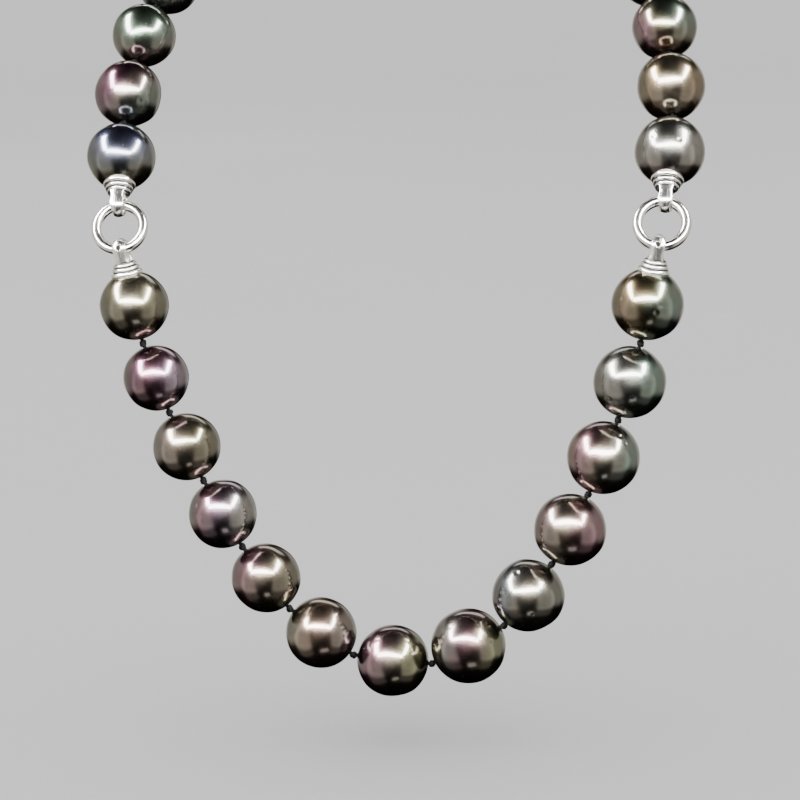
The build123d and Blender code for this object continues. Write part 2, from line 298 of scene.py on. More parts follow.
def alone(obj):
    bpy.ops.object.select_all(action="DESELECT")
    obj.select_set(True)
    bpy.context.view_layer.objects.active = obj


def modified(obj, kind, **settings):
    """Adds a modifier and applies it."""
    alone(obj)
    modifier = obj.modifiers.new("shape", kind)
    for name, value in settings.items():
        setattr(modifier, name, value)
    bpy.ops.object.modifier_apply(modifier=modifier.name)


def smooth(obj, angle=40.0):
    alone(obj)
    bpy.ops.object.shade_smooth_by_angle(angle=math.radians(angle))


def outward(obj):
    """Merges a mesh's doubles and turns its faces outwards."""
    alone(obj)
    bpy.ops.object.mode_set(mode="EDIT")
    bpy.ops.mesh.select_all(action="SELECT")
    bpy.ops.mesh.remove_doubles(threshold=MERGE_REACH)
    bpy.ops.mesh.normals_make_consistent(inside=False)
    done()


def settle(obj):
    """Moves a piece's place from its object into its mesh."""
    alone(obj)
    bpy.ops.object.transform_apply(location=True, rotation=True, scale=True)


def placed(base, name, place):
    """A copy of a base piece with its own mesh, put in its place."""
    copy = bpy.data.objects.new(name, base.data.copy())
    bpy.context.scene.collection.objects.link(copy)
    copy.matrix_world = place
    settle(copy)
    return copy


def joined(pieces, name):
    bpy.ops.object.select_all(action="DESELECT")
    for piece in pieces:
        piece.select_set(True)
    bpy.context.view_layer.objects.active = pieces[0]
    bpy.ops.object.join()
    pieces[0].name = name
    pieces[0].data.name = name
    return pieces[0]


def unevenness(name, scale, depth):
    """A cloudy pattern for small swells and dents."""
    pattern = bpy.data.textures.new(name, "CLOUDS")
    pattern.noise_scale = scale
    pattern.noise_depth = depth
    return pattern


def swell(obj, pattern, strength, **settings):
    modified(obj, "DISPLACE", texture=pattern, texture_coords="LOCAL", strength=strength, mid_level=0.5,
             **settings)


def middle_of(node):
    low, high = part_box(node)
    return (Vector(low) + Vector(high)) / 2


def dress(piece, material, body, slot, *nodes):
    """Finishes a piece: its material, the body it rides on and the CAD nodes it stands for. Its slot is not used.
    """
    piece.data.materials.clear()
    piece.data.materials.append(material)
    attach(piece, body)
    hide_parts(*nodes)


def along(direction, centre, turn=0.0, size=1.0):
    """The place of a piece whose own Z runs along a direction."""
    quaternion = Vector(direction).to_track_quat("Z", "Y")
    spin = Matrix.Rotation(turn, 4, "Z")
    return Matrix.Translation(centre) @ quaternion.to_matrix().to_4x4() @ spin @ Matrix.Scale(size, 4)


def body_with(node):
    return next(body for body, nodes in frame["record"]["behaviour"]["bodies"].items() if node in nodes)


# ---------------------------------------------------------------- where the strand runs
class Bead:
    """A pearl's place on the strand: centre, the way its bore runs, and radius."""

    def __init__(self, node):
        low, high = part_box(node)
        joint = joints[node + "_spin"]
        self.node = node
        self.centre = Vector(joint["pos_m"])
        self.run = Vector(joint["axis"]).normalized()
        self.radius = (Vector(high) - Vector(low)).x / 2

    def face(self, way):
        if self.run.dot(way) < 0:
            self.run.negate()

    def end(self, beyond=0.0):
        """Where its bore comes out, or a distance beyond that."""
        return self.centre + self.run * (self.radius + beyond)

    def start(self, before=0.0):
        return self.centre - self.run * (self.radius + before)


def strung(nodes):
    """The beads of a strand in order, each bore's run turned towards the next bead."""
    beads = [Bead(node) for node in nodes]
    for bead, following in zip(beads, beads[1:]):
        bead.face(following.centre - bead.centre)
    beads[-1].face(beads[-1].centre - beads[-2].centre)
    return beads


front = strung(f"front_pearl_{n:02d}" for n in range(1, 14))
neck = {side: strung(f"neck_pearl_{side}_{n}" for n in range(1, 9)) for side in SIDES}


def knot_between(first, second):
    return (first.end() + second.start()) / 2


# ---------------------------------------------------------------- pearls
PEARL_SEGMENTS = 128
PEARL_RINGS = 88
# on the pearl of radius 1 that is modelled once
DRILLED = 0.09  # faces whose middles are nearer the axis than this are drilled away
RIM_REACH = 0.12  # the bore's rims are within this of the axis
RIM_BEVEL = 0.012
BELLY_END = 0.93  # the belly, which swells a little, has ended at this height
BELLY_FADE = 0.25
# on each pearl of the strand
SWELL_STRENGTH = 0.4 * MM
TURN_STEP = 1.3  # radians, how far each is turned on its bore from the one before
DRIFT_STEP = 2.7  # how far its drifting colours are moved on from the one before


def model_pearl():
    """A drilled pearl of radius 1, its bore along Z, closed through the bore."""
    bpy.ops.mesh.primitive_uv_sphere_add(segments=PEARL_SEGMENTS, ring_count=PEARL_RINGS, radius=1.0)
    pearl = bpy.context.object
    edit(pearl, "FACE", faces=lambda centre, normal: math.hypot(centre.x, centre.y) < DRILLED)
    bpy.ops.mesh.delete(type="FACE")
    done()

    def on_rim(a, b):
        return a.z * b.z > 0 and max(math.hypot(a.x, a.y), math.hypot(b.x, b.y)) < RIM_REACH

    edit(pearl, "EDGE", edges=on_rim)
    bpy.ops.mesh.bridge_edge_loops()
    done()
    edit(pearl, "EDGE", edges=on_rim)
    bpy.ops.mesh.bevel(offset=RIM_BEVEL, segments=2)
    done()
    outward(pearl)
    smooth(pearl, 60.0)
    # round the bore it stays true, so that it turns freely against its knots and its cap
    belly = pearl.vertex_groups.new(name="belly")
    for vert in pearl.data.vertices:
        weight = min(1.0, max(0.0, (BELLY_END - abs(vert.co.z)) / BELLY_FADE))
        belly.add([vert.index], weight, "REPLACE")
    return pearl


pearl_base = model_pearl()

# nacre colours
OLIVE = (0.34, 0.32, 0.20)
CREAM = (0.62, 0.56, 0.44)
CHAMPAGNE = (0.60, 0.50, 0.40)
ROSE = (0.52, 0.27, 0.34)
AUBERGINE = (0.30, 0.13, 0.22)
LILAC = (0.48, 0.36, 0.47)
STEEL = (0.30, 0.34, 0.40)
BLUE_VIOLET = (0.22, 0.24, 0.42)
GREEN = (0.26, 0.36, 0.28)
SEA_GREEN = (0.30, 0.44, 0.37)
YELLOW_GREEN = (0.46, 0.48, 0.26)
SILVERY = (0.52, 0.52, 0.48)
TAUPE = (0.42, 0.35, 0.31)
BRONZE = (0.46, 0.34, 0.20)
PEACH = (0.64, 0.45, 0.36)
GREY_OLIVE = (0.36, 0.36, 0.30)

# the way in which a pearl's colours follow each other across it
RIGHT = (1.0, -0.35, 0.0)
DOWN_RIGHT = (0.8, -0.3, -0.7)
UP = (0.1, -0.3, 1.0)
UP_RIGHT = (0.8, -0.3, 0.7)
PEARL_COLOURS = {
    "front_pearl_01": (RIGHT, (GREY_OLIVE, OLIVE, CREAM, OLIVE)),
    "front_pearl_02": (RIGHT, (TAUPE, AUBERGINE, ROSE, LILAC)),
    "front_pearl_03": (RIGHT, (SILVERY, TAUPE, CHAMPAGNE, OLIVE)),
    "front_pearl_04": (RIGHT, (SEA_GREEN, ROSE, LILAC, SILVERY)),
    "front_pearl_05": (RIGHT, (TAUPE, ROSE, CHAMPAGNE, OLIVE)),
    "front_pearl_06": (RIGHT, (GREEN, CHAMPAGNE, PEACH, TAUPE)),
    "front_pearl_07": (RIGHT, (LILAC, ROSE, TAUPE, YELLOW_GREEN)),
    "front_pearl_08": (RIGHT, (TAUPE, SILVERY, ROSE, YELLOW_GREEN)),
    "front_pearl_09": (RIGHT, (TAUPE, STEEL, CREAM, GREY_OLIVE)),
    "front_pearl_10": (RIGHT, (ROSE, TAUPE, CHAMPAGNE, ROSE)),
    "front_pearl_11": (RIGHT, (PEACH, ROSE, CHAMPAGNE, SEA_GREEN)),
    "front_pearl_12": (RIGHT, (GREY_OLIVE, SILVERY, SILVERY, SEA_GREEN)),
    "front_pearl_13": (RIGHT, (OLIVE, BRONZE, OLIVE, SEA_GREEN)),
    "neck_pearl_left_1": (UP, (YELLOW_GREEN, OLIVE, STEEL, BLUE_VIOLET)),
    "neck_pearl_left_2": (DOWN_RIGHT, (ROSE, AUBERGINE, TAUPE, GREEN)),
    "neck_pearl_left_3": (UP, (ROSE, TAUPE, GREEN, GREEN)),
    "neck_pearl_left_4": (RIGHT, (STEEL, STEEL, SILVERY, GREEN)),
    "neck_pearl_right_1": (UP, (ROSE, TAUPE, SILVERY, SILVERY)),
    "neck_pearl_right_2": (RIGHT, (OLIVE, BRONZE, CREAM, BRONZE)),
    "neck_pearl_right_3": (UP_RIGHT, (TAUPE, ROSE, OLIVE, GREEN)),
    "neck_pearl_right_4": (RIGHT, (GREEN, TAUPE, ROSE, TAUPE)),
}
HIDDEN_COLOURS = [
    (UP, (GREEN, TAUPE, SILVERY, STEEL)),
    (RIGHT, (ROSE, TAUPE, OLIVE, GREEN)),
    (DOWN_RIGHT, (STEEL, SILVERY, LILAC, TAUPE)),
    (UP_RIGHT, (OLIVE, BRONZE, TAUPE, SEA_GREEN)),
]
# creases and larger pits of some pearls: (direction from the centre, width mm, depth mm)
BLEMISHES = {
    "front_pearl_04": [((-0.62, -0.66, 0.42), 0.55, 0.16), ((-0.5, -0.75, 0.1), 0.4, 0.1)],
    "front_pearl_08": [((-0.1, -0.8, -0.55), 0.5, 0.14), ((0.62, -0.6, 0.3), 0.35, 0.08)],
    "front_pearl_09": [((-0.25, -0.55, 0.78), 0.55, 0.16), ((-0.55, -0.75, 0.3), 0.5, 0.14),
                       ((0.2, -0.9, -0.28), 0.35, 0.1)],
    "front_pearl_11": [((0.5, -0.5, 0.68), 0.6, 0.18), ((0.62, -0.52, 0.52), 0.45, 0.12),
                       ((0.38, -0.5, 0.76), 0.4, 0.1)],
    "front_pearl_12": [((-0.5, -0.75, -0.38), 0.8, 0.14), ((-0.36, -0.82, -0.42), 0.6, 0.12),
                       ((0.1, -0.95, -0.2), 0.35, 0.08)],
    "front_pearl_13": [((0.28, -0.93, -0.08), 0.6, 0.14), ((0.4, -0.9, 0.12), 0.5, 0.1)],
    "neck_pearl_right_1": [((-0.4, -0.7, 0.5), 0.5, 0.12), ((0.3, -0.8, 0.4), 0.4, 0.1)],
    "neck_pearl_left_2": [((0.5, -0.8, -0.1), 0.5, 0.12)],
}


def blemish(pearl, centre, radius, direction, width, depth):
    """Presses one pit into a pearl's skin."""
    out = Vector(direction).normalized()
    place = centre + out * radius
    nearest = min(pearl.data.vertices, key=lambda vert: (vert.co - place).length).co.copy()
    edit(pearl, "VERT", verts=lambda co: (co - nearest).length < 1e-7)
    bpy.ops.transform.translate(
        value=-out * depth * MM,
        use_proportional_edit=True,
        proportional_edit_falloff="SMOOTH",
        proportional_size=width * MM,
    )
    done()


pearl_swell = unevenness("pearl_swell", 6.5 * MM, 1)
for number, bead in enumerate(front + neck["left"] + neck["right"]):
    place = along(bead.run, bead.centre, number * TURN_STEP, bead.radius)
    pearl = placed(pearl_base, bead.node + "_nacre", place)
    swell(pearl, pearl_swell, SWELL_STRENGTH, vertex_group="belly")
    for direction, width, depth in BLEMISHES.get(bead.node, []):
        blemish(pearl, bead.centre, bead.radius, direction, width, depth)
    side_glow, colours = PEARL_COLOURS.get(bead.node) or HIDDEN_COLOURS[number % len(HIDDEN_COLOURS)]
    skin = nacre(bead.node + "_nacre", bead.centre, bead.radius, side_glow, colours, number * DRIFT_STEP)
    dress(pearl, skin, bead.node, bead.node, bead.node)
bpy.data.objects.remove(pearl_base)

# ---------------------------------------------------------------- silk
silk_black = silk_finish("black_silk")
THREAD_LENGTH = 10.0 * MM  # of the thread that is modelled once
THREAD_RADIUS = 0.35 * MM
THREAD_STEPS = 64
STEP_TWIST = math.radians(25.0)
PLIES = 3
PLY_DEPTH = 0.14  # of the furrows between the plies, over the thread's radius
KNOT_REACH = 0.35 * MM  # a thread starts this far from the middle of a knot
KNOT_WIRE = 0.235 * MM
KNOT_CORE = 0.42 * MM
# the knot's loops: (turn and tilt in degrees, height and radius in mm)
KNOT_LOOPS = ((0, 16, -0.24, 0.36), (130, -24, 0.0, 0.42), (250, 19, 0.24, 0.35))
# knots differ: each is turned on by this from the one before, and by this for each metre across
KNOT_TURN_STEP, KNOT_TURN_ACROSS = 2.1, 900
CAP_KNOT_HEIGHT = 0.65 * MM  # above the pearl's pole, in the cap
GIMP_KNOT_REACH = 0.65 * MM  # beyond the last pearl's pole, in the gimp


def model_thread():
    """Twisted three-ply silk along Z, THREAD_LENGTH long from the origin."""
    bpy.ops.mesh.primitive_circle_add(vertices=18, radius=THREAD_RADIUS, fill_type="NGON")
    thread = bpy.context.object
    for vert in thread.data.vertices:
        angle = math.atan2(vert.co.y, vert.co.x)
        vert.co *= 1 - PLY_DEPTH + PLY_DEPTH * math.cos(PLIES * angle)
    edit(thread, "FACE", faces=lambda centre, normal: True)
    for _ in range(THREAD_STEPS):
        step = (0, 0, THREAD_LENGTH / THREAD_STEPS)
        bpy.ops.mesh.extrude_region_move(TRANSFORM_OT_translate={"value": step})
        bpy.ops.transform.rotate(value=STEP_TWIST, orient_axis="Z", center_override=(0.0, 0.0, 0.0))
    done()
    outward(thread)
    smooth(thread, 60.0)
    return thread


def model_knot():
    """A snug overhand knot of the same silk, at the origin, its thread along Z."""
    loops = []
    for turn, tilt, height, radius in KNOT_LOOPS:
        bpy.ops.mesh.primitive_torus_add(
            major_segments=26, minor_segments=10,
            major_radius=radius * MM, minor_radius=KNOT_WIRE,
            location=(0, 0, height * MM),
            rotation=(math.radians(tilt), 0, math.radians(turn)),
        )
        loop = bpy.context.object
        settle(loop)
        loops.append(loop)
    bpy.ops.mesh.primitive_uv_sphere_add(segments=14, ring_count=10, radius=KNOT_CORE)
    loops.append(bpy.context.object)
    knot = joined(loops, "knot_base")
    smooth(knot, 60.0)
    return knot


thread_base = model_thread()
knot_base = model_knot()


def thread_piece(start, end):
    run = end - start
    place = along(run, start) @ Matrix.Diagonal((1, 1, run.length / THREAD_LENGTH, 1))
    return placed(thread_base, "thread", place)


def silk_piece(node, knots, lengths):
    """One length of silk: its knots, each (place, direction), and its straight runs, each (start, end)."""
    pieces = []
    for n, (place, run) in enumerate(knots):
        turn = KNOT_TURN_STEP * n + KNOT_TURN_ACROSS * place.x
        pieces.append(placed(knot_base, "knot", along(run, place, turn)))
    pieces += [thread_piece(start, end) for start, end in lengths]
    whole = joined(pieces, node + "_twist")
    dress(whole, silk_black, body_with(node), "silk", node)


def stepped_in(start, end):
    """A run to a knot that starts a little way out of the knot before it."""
    return start + (end - start).normalized() * KNOT_REACH, end


front_knots = [knot_between(a, b) for a, b in zip(front, front[1:])]
# from each cap down to the lowest pearls: the knot in the cap, the beads and the knots between them
drape = {
    "left": (front[0].start(CAP_KNOT_HEIGHT), front, front_knots),
    "right": (front[-1].end(CAP_KNOT_HEIGHT), front[::-1], front_knots[::-1]),
}
for side, (cap_knot, beads, knots) in drape.items():
    run = beads[0].run
    silk_piece(f"silk_{side}_1", [(cap_knot, run), (knots[0], run)], [(cap_knot, knots[0])])
for link in range(2, 6):
    for side, (cap_knot, beads, knots) in drape.items():
        silk_piece(f"silk_{side}_{link}", [(knots[link - 1], beads[link - 1].run)],
                   [stepped_in(knots[link - 2], knots[link - 1])])
# the two lowest lengths meet at the knot between pearls 7 and 8, which is the left one's
silk_piece("silk_left_6", [(front_knots[5], front[5].run), (front_knots[6], front[6].run)],
           [stepped_in(front_knots[4], front_knots[5]), (front_knots[5], front_knots[6])])
silk_piece("silk_right_6", [], [stepped_in(front_knots[7], front_knots[6] + front[7].run * KNOT_REACH)])

for side, strand in neck.items():
    places = [strand[0].start(CAP_KNOT_HEIGHT)]
    places += [knot_between(a, b) for a, b in zip(strand, strand[1:])]
    places.append(strand[-1].end(GIMP_KNOT_REACH))
    runs = [strand[0].run] + [bead.run for bead in strand]
    silk_piece(f"silk_neck_{side}", list(zip(places, runs)), list(zip(places, places[1:])))
bpy.data.objects.remove(thread_base)
bpy.data.objects.remove(knot_base)

# ---------------------------------------------------------------- rings, caps and bails
ring_silver = silver("ring_silver", (0.97, 0.96, 0.94), 0.13, 0.12)
cap_silver = silver("cap_silver", (0.96, 0.95, 0.93), 0.17, 0.25)
clasp_metal = silver("clasp_metal", (0.90, 0.89, 0.87), 0.16, 0.2)
wire_metal = silver("wire_metal", (0.86, 0.85, 0.83), 0.22, 0.25)

RING_RADIUS = 3.85 * MM
RING_WIRE = 0.8 * MM
RING_LEAN = math.radians(30.0)
WIRE_ABOVE_PEARL = 3.7 * MM
# the cap's outline from its rim to its top: (radius, height above the pearl's pole), mm
CAP_OUTLINE = [
    (2.30, -0.50), (2.46, -0.56), (2.57, -0.46), (2.60, -0.22), (2.52, 0.02), (2.36, 0.14), (2.12, 0.18),
    (2.04, 0.24), (2.10, 0.31), (2.21, 0.38), (2.26, 0.54), (2.19, 0.72), (2.06, 0.82), (1.86, 0.85),
    (1.77, 0.90), (1.80, 0.97), (1.88, 1.04), (1.93, 1.18), (1.87, 1.33), (1.76, 1.42), (1.60, 1.45),
    (1.52, 1.50), (1.53, 1.58), (1.46, 1.70), (1.30, 1.75), (0.70, 1.76), (0.10, 1.76),
]
GROOVES = ((2.04, 0.24), (1.77, 0.90), (1.52, 1.50))  # the outline's deepest points
GROOVE_REACH = 0.27  # mm, how far a groove's tarnish and painted shade reach
CAP_TOP_HOLE = 0.12 * MM  # just over the radius that is left open at the top of the outline
CAP_SEAT_GAP = 0.12 * MM  # between the cap's inside and the pearl
CAP_INNER_RADII = (1.9, 1.4, 0.8)  # mm, where the inside is shaped, down to the knot's chamber
CAP_CHAMBER_TOP = 1.3 * MM  # above the pearl's pole
BAIL_INNER = 1.2 * MM
BAIL_THICK = 0.42 * MM
BAIL_WIDTH = 2.2 * MM
BAIL_FOOT = 1.5 * MM  # its feet, above the pearl's pole
BAIL_CROWN = 0.17  # how much further out it stands along its middle
BAIL_ROUNDING = 0.7  # how much it is rounded off over the wire
BAIL_WAIST, WAIST_REACH = 0.16, 0.9 * MM  # how much narrower it is half way down, and for how far
BAIL_FLARE = 0.12  # how much wider it is at its feet
LEG_STEPS = 6
STRAP_STEPS = 10
RECESS_EDGE = 0.04 * MM
# how dark and rough the recess is made: its darkness is painted shade
RECESS_PAINTED_SHADE = 0.6
dents = unevenness("hand_dents", 1.1 * MM, 2)


def model_cap(pearl_radius):
    """A stepped cap on a pearl at the origin, its bail above it along Z, seen from the front along Y."""
    pole = pearl_radius
    bpy.ops.mesh.primitive_plane_add(size=0.001)
    cap = bpy.context.object
    edit(cap, "VERT", verts=lambda co: True)
    bpy.ops.mesh.merge(type="CENTER")
    radius, height = CAP_OUTLINE[0]
    bpy.ops.transform.translate(value=(radius * MM, 0, pole + height * MM))
    for next_radius, next_height in CAP_OUTLINE[1:]:
        step = ((next_radius - radius) * MM, 0, (next_height - height) * MM)
        bpy.ops.mesh.extrude_vertices_move(TRANSFORM_OT_translate={"value": step})
        radius, height = next_radius, next_height
    bpy.ops.mesh.select_all(action="SELECT")
    bpy.ops.mesh.spin(steps=96, angle=math.tau, center=(0, 0, 0), axis=(0, 0, 1))
    bpy.ops.mesh.select_all(action="SELECT")
    bpy.ops.mesh.remove_doubles(threshold=0.000004)
    done()
    # the small opening at the top is closed, and the inside follows the pearl
    edit(cap, "EDGE", edges=lambda a, b: max(math.hypot(a.x, a.y), math.hypot(b.x, b.y)) < CAP_TOP_HOLE)
    bpy.ops.mesh.edge_face_add()
    done()
    low = pole + CAP_OUTLINE[0][1] * MM
    rim = CAP_OUTLINE[0][0] * MM
    edit(cap, "EDGE", edges=lambda *ends: all(
        abs(end.z - low) < 1e-6 and abs(math.hypot(end.x, end.y) - rim) < 1e-5 for end in ends
    ))
    seat = pearl_radius + CAP_SEAT_GAP
    for inner in CAP_INNER_RADII:
        last = rim
        rim = inner * MM
        height = math.sqrt(seat ** 2 - rim ** 2)
        bpy.ops.mesh.extrude_edges_move(TRANSFORM_OT_translate={"value": (0, 0, height - low)})
        share = rim / last
        bpy.ops.transform.resize(value=(share, share, 1), center_override=(0, 0, 0))
        low = height
    top = pole + CAP_CHAMBER_TOP
    bpy.ops.mesh.extrude_edges_move(TRANSFORM_OT_translate={"value": (0, 0, top - low)})
    bpy.ops.mesh.edge_face_add()
    done()
    outward(cap)
    swell(cap, dents, 0.09 * MM)
    smooth(cap, 50.0)
    groove = cap.data.attributes.new("groove", "FLOAT", "POINT")
    for vert in cap.data.vertices:
        out, up = math.hypot(vert.co.x, vert.co.y) / MM, (vert.co.z - pole) / MM
        near = min(math.hypot(out - r, up - h) for r, h in GROOVES)
        groove.data[vert.index].value = max(0.0, 1.0 - near / GROOVE_REACH)
    return cap


def model_bail(pearl_radius):
    """The strap that goes over the ring's wire, its legs on the front and the back of the cap."""
    wire = pearl_radius + WIRE_ABOVE_PEARL
    foot = pearl_radius + BAIL_FOOT
    middle = BAIL_INNER + BAIL_THICK / 2
    bpy.ops.mesh.primitive_circle_add(
        vertices=48, radius=middle, location=(-BAIL_WIDTH / 2, 0, wire), rotation=(0, math.pi / 2, 0)
    )
    bail = bpy.context.object
    settle(bail)
    edit(bail, "VERT", verts=lambda co: co.z < wire - 1e-6)
    bpy.ops.mesh.delete(type="VERT")
    done()
    edit(bail, "VERT", verts=lambda co: abs(co.z - wire) < 1e-5)
    for _ in range(LEG_STEPS):
        step = (0, 0, (foot - wire) / LEG_STEPS)
        bpy.ops.mesh.extrude_vertices_move(TRANSFORM_OT_translate={"value": step})
    bpy.ops.mesh.select_all(action="SELECT")
    for _ in range(STRAP_STEPS):
        bpy.ops.mesh.extrude_edges_move(TRANSFORM_OT_translate={"value": (BAIL_WIDTH / STRAP_STEPS, 0, 0)})
    done()
    # the strap is waisted half way down and rounded off where it bends over the wire
    waist = (wire + foot) / 2
    for vert in bail.data.vertices:
        bend = max(0.0, (vert.co.z - wire) / middle)
        crown = 1.0 + BAIL_CROWN * (1.0 - (2 * vert.co.x / BAIL_WIDTH) ** 2)
        vert.co.y *= crown
        vert.co.z = max(vert.co.z, wire + (vert.co.z - wire) * crown)
        vert.co.x *= math.sqrt(1.0 - BAIL_ROUNDING * bend ** 2)
        near = math.exp(-((vert.co.z - waist) / WAIST_REACH) ** 2)
        vert.co.x *= 1.0 - BAIL_WAIST * near
        vert.co.x *= 1.0 + BAIL_FLARE * max(0.0, (waist - vert.co.z) / (waist - foot)) ** 2
    outward(bail)
    modified(bail, "SOLIDIFY", thickness=BAIL_THICK, offset=0.0)
    modified(bail, "BEVEL", width=0.1 * MM, segments=3, limit_method="ANGLE", angle_limit=math.radians(50))
    outward(bail)
    smooth(bail, 50.0)
    bail.data.attributes.new("groove", "FLOAT", "POINT")
    return bail


def recess(bail, at, half_width, half_height, depth, corners=2.0):
    """Sinks a small panel, darkened with painted shade, into the strap's front, an oval that is squarer with more
    in corners.
    """
    edit(bail, "FACE", faces=lambda centre, normal: normal.y < -0.8
         and abs(centre.x / half_width) ** corners + abs((centre.z - at) / half_height) ** corners < 1)
    bpy.ops.mesh.inset(thickness=RECESS_EDGE, depth=0)
    bpy.ops.mesh.extrude_region_move(TRANSFORM_OT_translate={"value": (0, depth, 0)})
    done()
    groove = bail.data.attributes["groove"]
    for vert in bail.data.vertices:
        if vert.select:
            groove.data[vert.index].value = RECESS_PAINTED_SHADE


def cap_place(bead, towards_ring):
    """The cap's own Z runs to the ring and its X stays level across the front."""
    up = towards_ring.normalized()
    across = (Vector((1, 0, 0)) - up * up.x).normalized()
    back = up.cross(across)
    turn = Matrix((across, back, up)).transposed().to_4x4()
    return Matrix.Translation(bead.centre) @ turn


cap_places = {
    "cap_upper_left": (neck["left"][0], -neck["left"][0].run, "neck_strands"),
    "cap_upper_right": (neck["right"][0], -neck["right"][0].run, "neck_strands"),
    "cap_lower_left": (front[0], -front[0].run, "link_left_1"),
    "cap_lower_right": (front[-1], front[-1].run, "link_right_1"),
}
for node, (bead, towards_ring, body) in cap_places.items():
    cap = model_cap(bead.radius)
    bail = model_bail(bead.radius)
    wire = bead.radius + WIRE_ABOVE_PEARL
    if node.startswith("cap_upper"):
        recess(bail, wire - 0.85 * MM, 0.45 * MM, 0.65 * MM, 0.13 * MM, corners=8.0)
    recess(bail, wire + 0.5 * MM, 0.5 * MM, 0.42 * MM, 0.15 * MM)
    whole = joined([cap, bail], node + "_stepped")
    whole.matrix_world = cap_place(bead, towards_ring)
    settle(whole)
    dress(whole, cap_silver, body, "polished_silver", node)

ring_flats = unevenness("ring_flats", 2.4 * MM, 0)


def polished_ring(name, centre, radius, wire, segments, flats, rotation=(0, 0, 0)):
    """A ring of round wire, its polish a little uneven."""
    around, across = segments
    bpy.ops.mesh.primitive_torus_add(
        major_segments=around, minor_segments=across, major_radius=radius, minor_radius=wire,
        location=centre, rotation=rotation,
    )
    ring = bpy.context.object
    settle(ring)
    swell(ring, ring_flats, flats)
    smooth(ring, 60.0)
    ring.name = name
    return ring


for side in SIDES:
    node = "ring_" + side
    ring = polished_ring(node + "_polished", middle_of(node), RING_RADIUS, RING_WIRE, (160, 40), 0.05 * MM,
                         (math.pi / 2 - RING_LEAN, 0, 0))
    dress(ring, ring_silver, node, "polished_silver", node)

# ---------------------------------------------------------------- clasp
JUMP_RINGS = {"clasp_ring": 2.1 * MM, "catch_ring": 2.3 * MM}
JUMP_RING_WIRE = 0.4 * MM
RIVET_PROUD = 0.16 * MM  # both heads together
GIMP_RADIUS = 1.1 * MM
GIMP_WIRE = 0.35 * MM
GIMP_TURNS = 36
GIMP_DEPTH = 0.1  # of the furrows between its turns, over the wire's radius


def bevelled_copy(node, width):
    """A closed, merged copy of a CAD part with its edges rounded over."""
    copy = bpy.data.objects.new(node + "_cast", frame["nodes"][node].data.copy())
    bpy.context.scene.collection.objects.link(copy)
    alone(copy)
    bpy.ops.object.mode_set(mode="EDIT")
    bpy.ops.mesh.select_all(action="SELECT")
    bpy.ops.mesh.remove_doubles(threshold=MERGE_REACH)
    bpy.ops.mesh.dissolve_limited(angle_limit=math.radians(1.0))
    done()
    modified(copy, "BEVEL", width=width, segments=3, limit_method="ANGLE",
             angle_limit=math.radians(40), miter_outer="MITER_ARC")
    smooth(copy, 35.0)
    return copy


for node, width in (("clasp_body", 0.22 * MM), ("clasp_trigger", 0.14 * MM)):
    piece = bevelled_copy(node, width)
    dress(piece, clasp_metal, body_with(node), "clasp_silver", node)

for node, radius in JUMP_RINGS.items():
    jump_ring = polished_ring(node + "_wire", middle_of(node), radius, JUMP_RING_WIRE, (112, 24), 0.03 * MM)
    dress(jump_ring, clasp_metal, "neck_strands", "clasp_silver", node)

low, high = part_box("clasp_rivet")
low, high = Vector(low), Vector(high)
bpy.ops.mesh.primitive_cylinder_add(
    vertices=40, radius=(high.x - low.x) / 2, depth=high.y - low.y + RIVET_PROUD,
    location=(low + high) / 2, rotation=(math.pi / 2, 0, 0),
)
rivet = bpy.context.object
settle(rivet)
modified(rivet, "BEVEL", width=0.09 * MM, segments=3, limit_method="ANGLE", angle_limit=math.radians(50))
smooth(rivet, 50.0)
rivet.name = "clasp_rivet_head"
dress(rivet, wire_metal, "neck_strands", "clasp_silver", "clasp_rivet")

for side, strand in neck.items():
    node = "gimp_" + side
    bpy.ops.mesh.primitive_torus_add(major_segments=144, minor_segments=20, major_radius=GIMP_RADIUS,
                                     minor_radius=GIMP_WIRE)
    gimp = bpy.context.object
    for vert in gimp.data.vertices:
        angle = math.atan2(vert.co.y, vert.co.x)
        wire_middle = Vector((math.cos(angle), math.sin(angle), 0)) * GIMP_RADIUS
        across = math.atan2(vert.co.z, math.hypot(vert.co.x, vert.co.y) - GIMP_RADIUS)
        coil = 1 - GIMP_DEPTH + GIMP_DEPTH * math.cos(GIMP_TURNS * angle + across)
        vert.co = wire_middle + (vert.co - wire_middle) * coil
    axis = strand[-1].run.cross(Vector((0, 0, 1))).normalized()
    gimp.matrix_world = along(axis, middle_of(node))
    settle(gimp)
    smooth(gimp, 60.0)
    gimp.name = node + "_coil"
    dress(gimp, wire_metal, "neck_strands", "fine_wire", node)

for slot in frame["nodes"]["clasp_spring"].material_slots:
    slot.material = wire_metal

